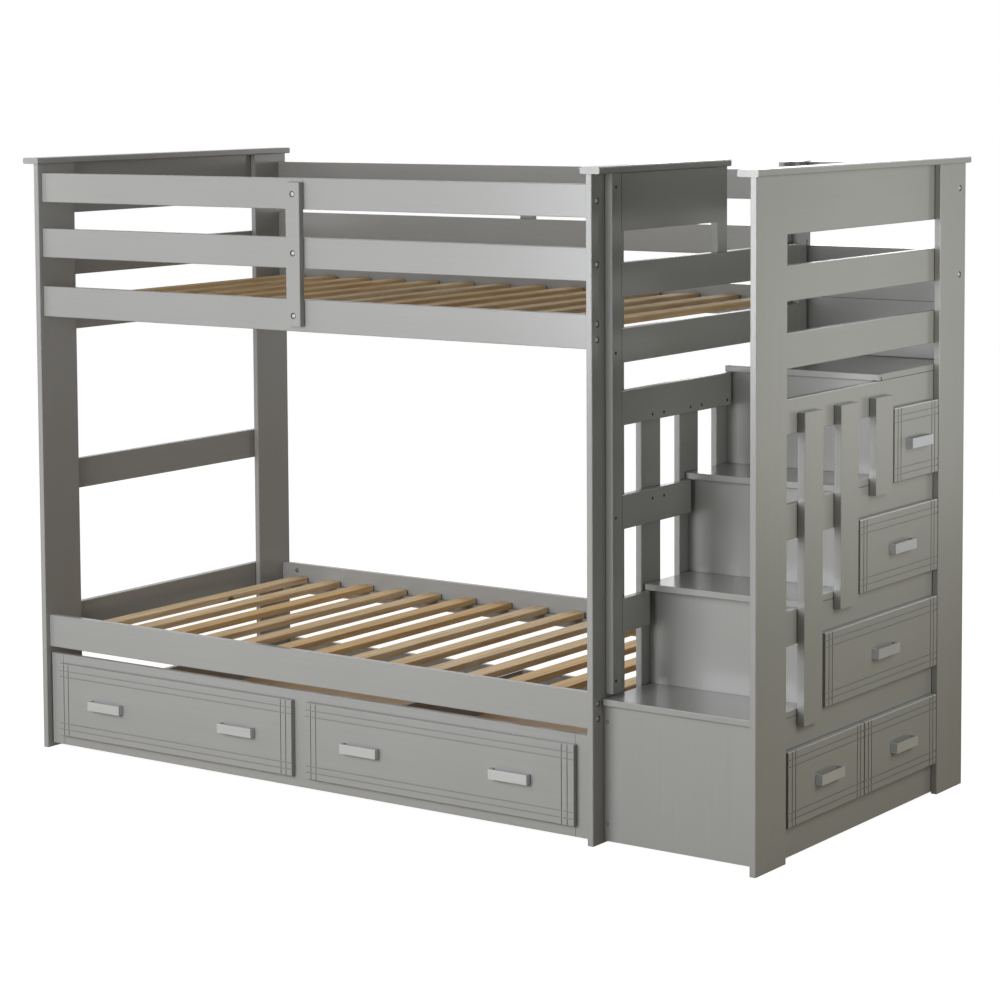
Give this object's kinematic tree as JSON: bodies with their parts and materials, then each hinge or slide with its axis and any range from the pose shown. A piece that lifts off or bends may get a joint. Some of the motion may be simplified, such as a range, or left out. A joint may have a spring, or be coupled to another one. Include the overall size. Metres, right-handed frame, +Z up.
{
  "type": "bunk bed with trundle",
  "caption": "Twin bunk bed in grey paint with pine slats, a rolling trundle below, and a stair cabinet with drawers and railings at the right end.",
  "frame": {"origin": "on the floor, under the middle of the bed's outline", "axes": "+X along the bed towards the stairs, +Y from the trundle's front towards the wall, +Z up"},
  "size_m": [2.5076, 1.197, 1.7723],
  "materials": {
    "grey_paint": "satin grey painted wood",
    "pine_slats": "unfinished sawn pine",
    "birch_ply": "clear-sealed birch plywood",
    "satin_nickel": "satin nickel plate",
    "black_nylon": "moulded black nylon"
  },
  "bodies": {
    "bed": {"left_front_post": "grey_paint", "left_rear_post": "grey_paint", "right_front_post": "grey_paint", "right_rear_post": "grey_paint", "outer_front_post": "grey_paint", "outer_rear_post": "grey_paint", "left_cap": "grey_paint", "right_cap": "grey_paint", "outer_cap": "grey_paint", "left_end_ladder": "grey_paint", "right_top_panel": "grey_paint", "right_guard_rail": "grey_paint", "right_bed_rail": "grey_paint", "outer_end_ladder": "grey_paint", "inner_stair_railing": "grey_paint", "outer_stair_railing": "grey_paint", "front_guard": "grey_paint", "rear_guard": "grey_paint", "upper_front_side_rail": "grey_paint", "upper_rear_side_rail": "grey_paint", "lower_front_side_rail": "grey_paint", "lower_rear_side_rail": "grey_paint", "stair_tread_1": "grey_paint", "stair_tread_2": "grey_paint", "stair_tread_3": "grey_paint", "stair_landing": "grey_paint", "cabinet_carcass": "grey_paint", "stair_face_frame": "grey_paint", "stair_rear_panel": "grey_paint", "stair_rear_low_board": "grey_paint", "stair_rear_top_board": "grey_paint", "upper_slats": "pine_slats", "lower_slats": "pine_slats"},
    "drawer_1": {"drawer_1_front": "grey_paint", "drawer_1_box": "birch_ply", "drawer_1_handle": "satin_nickel"},
    "drawer_2": {"drawer_2_front": "grey_paint", "drawer_2_box": "birch_ply", "drawer_2_handle": "satin_nickel"},
    "drawer_3": {"drawer_3_front": "grey_paint", "drawer_3_box": "birch_ply", "drawer_3_handle": "satin_nickel"},
    "drawer_4": {"drawer_4_front": "grey_paint", "drawer_4_box": "birch_ply", "drawer_4_handle": "satin_nickel"},
    "drawer_5": {"drawer_5_front": "grey_paint", "drawer_5_box": "birch_ply", "drawer_5_handle": "satin_nickel"},
    "trundle": {"trundle_front": "grey_paint", "trundle_frame": "grey_paint", "trundle_panel_left": "birch_ply", "trundle_panel_right": "birch_ply", "trundle_handle_1": "satin_nickel", "trundle_handle_2": "satin_nickel", "trundle_handle_3": "satin_nickel", "trundle_handle_4": "satin_nickel"},
    "wheel_front_left": {"wheel_front_left": "black_nylon"},
    "wheel_front_right": {"wheel_front_right": "black_nylon"},
    "wheel_rear_left": {"wheel_rear_left": "black_nylon"},
    "wheel_rear_right": {"wheel_rear_right": "black_nylon"}
  },
  "joints": [
    {"name": "drawer_1_slide", "type": "slide", "parent": "bed", "child": "drawer_1", "axis": [1, 0, 0], "range_m": [0, 0.33]},
    {"name": "drawer_2_slide", "type": "slide", "parent": "bed", "child": "drawer_2", "axis": [1, 0, 0], "range_m": [0, 0.33]},
    {"name": "drawer_3_slide", "type": "slide", "parent": "bed", "child": "drawer_3", "axis": [1, 0, 0], "range_m": [0, 0.33]},
    {"name": "drawer_4_slide", "type": "slide", "parent": "bed", "child": "drawer_4", "axis": [1, 0, 0], "range_m": [0, 0.33]},
    {"name": "drawer_5_slide", "type": "slide", "parent": "bed", "child": "drawer_5", "axis": [1, 0, 0], "range_m": [0, 0.33]},
    {"name": "trundle_slide", "type": "slide", "parent": "bed", "child": "trundle", "axis": [0, -1, 0], "range_m": [0, 1]},
    {"name": "wheel_front_left_spin", "type": "hinge", "parent": "trundle", "child": "wheel_front_left", "pos_m": [-1.1438, -0.4635, 0.0255], "axis": [1, 0, 0], "continuous": true},
    {"name": "wheel_front_right_spin", "type": "hinge", "parent": "trundle", "child": "wheel_front_right", "pos_m": [0.6642, -0.4635, 0.0255], "axis": [1, 0, 0], "continuous": true},
    {"name": "wheel_rear_left_spin", "type": "hinge", "parent": "trundle", "child": "wheel_rear_left", "pos_m": [-1.1438, 0.4505, 0.0255], "axis": [1, 0, 0], "continuous": true},
    {"name": "wheel_rear_right_spin", "type": "hinge", "parent": "trundle", "child": "wheel_rear_right", "pos_m": [0.6642, 0.4505, 0.0255], "axis": [1, 0, 0], "continuous": true}
  ],
  "couplings": [
    {"joint": "wheel_front_left_spin", "follows": "trundle_slide", "rad_per_m": 40},
    {"joint": "wheel_front_right_spin", "follows": "trundle_slide", "rad_per_m": 40},
    {"joint": "wheel_rear_left_spin", "follows": "trundle_slide", "rad_per_m": 40},
    {"joint": "wheel_rear_right_spin", "follows": "trundle_slide", "rad_per_m": 40}
  ]
}
